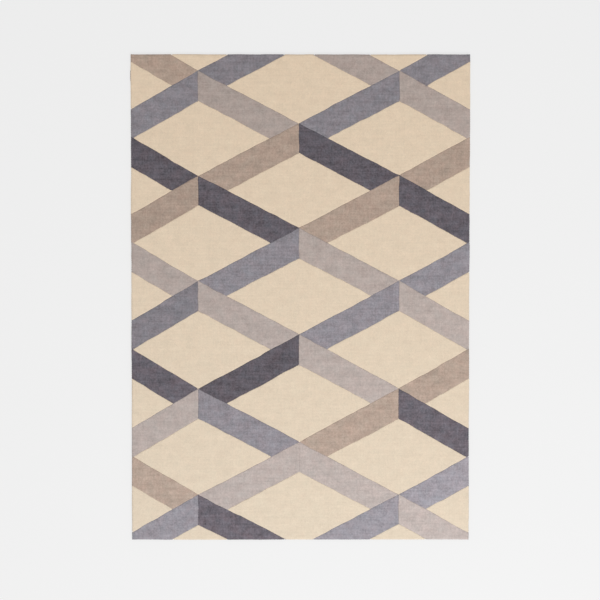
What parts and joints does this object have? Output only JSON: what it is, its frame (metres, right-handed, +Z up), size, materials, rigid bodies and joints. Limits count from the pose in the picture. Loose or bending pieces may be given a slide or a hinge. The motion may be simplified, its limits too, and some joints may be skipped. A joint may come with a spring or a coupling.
{
  "type": "area rug",
  "caption": "Rectangular hand-tufted wool area rug with a flat lattice of ribbon shapes in four shades on a cream ground, with a cloth backing.",
  "frame": {"origin": "centre of the underside, on the floor", "axes": "+Z up through the pile; +Y along the rug's length, towards the end with the side label; +X to the right as seen from above"},
  "size_m": [1.604, 2.3, 0.014],
  "materials": {
    "cream_pile": "sheared wool cut pile, matt with a soft sheen",
    "charcoal_pile": "sheared wool cut pile, matt with a soft sheen",
    "slate_pile": "sheared wool cut pile, matt with a soft sheen",
    "taupe_pile": "sheared wool cut pile, matt with a soft sheen",
    "pale_pile": "sheared wool cut pile, matt with a soft sheen",
    "primary_cloth": "plain woven natural cotton cloth",
    "latex": "spread latex, dull and slightly rough",
    "canvas": "plain woven natural cotton canvas",
    "hem_tape": "woven cotton tape",
    "label": "close woven label cloth, blank"
  },
  "bodies": {
    "root": {"backing_canvas": "canvas", "charcoal_ribbon_row10_no2": "charcoal_pile", "charcoal_ribbon_row3_no1": "charcoal_pile", "charcoal_ribbon_row3_no3": "charcoal_pile", "charcoal_ribbon_row4_no2": "charcoal_pile", "charcoal_ribbon_row4_no4": "charcoal_pile", "charcoal_ribbon_row7_no1": "charcoal_pile", "charcoal_ribbon_row7_no2": "charcoal_pile", "charcoal_ribbon_row8_no4": "charcoal_pile", "cream_ground_pile": "cream_pile", "hem_tape_far_end": "hem_tape", "hem_tape_left": "hem_tape", "hem_tape_near_end": "hem_tape", "hem_tape_right": "hem_tape", "latex_coat": "latex", "pale_ribbon_row10_no4": "pale_pile", "pale_ribbon_row1_no3": "pale_pile", "pale_ribbon_row2_no2": "pale_pile", "pale_ribbon_row2_no4": "pale_pile", "pale_ribbon_row5_no1": "pale_pile", "pale_ribbon_row5_no3": "pale_pile", "pale_ribbon_row6_no2": "pale_pile", "pale_ribbon_row6_no4": "pale_pile", "pale_ribbon_row7_no3": "pale_pile", "pale_ribbon_row8_no1": "pale_pile", "pale_ribbon_row9_no2": "pale_pile", "pale_ribbon_row9_no3": "pale_pile", "primary_cloth": "primary_cloth", "side_label": "label", "slate_ribbon_row10_no1": "slate_pile", "slate_ribbon_row10_no3": "slate_pile", "slate_ribbon_row1_no2": "slate_pile", "slate_ribbon_row1_no4": "slate_pile", "slate_ribbon_row2_no1": "slate_pile", "slate_ribbon_row2_no3": "slate_pile", "slate_ribbon_row5_no2": "slate_pile", "slate_ribbon_row5_no4": "slate_pile", "slate_ribbon_row6_no1": "slate_pile", "slate_ribbon_row6_no3": "slate_pile", "slate_ribbon_row8_no2": "slate_pile", "slate_ribbon_row9_no4": "slate_pile", "taupe_ribbon_row1_no1": "taupe_pile", "taupe_ribbon_row3_no2": "taupe_pile", "taupe_ribbon_row3_no4": "taupe_pile", "taupe_ribbon_row4_no1": "taupe_pile", "taupe_ribbon_row4_no3": "taupe_pile", "taupe_ribbon_row7_no4": "taupe_pile", "taupe_ribbon_row8_no3": "taupe_pile", "taupe_ribbon_row9_no1": "taupe_pile"}
  },
  "joints": []
}
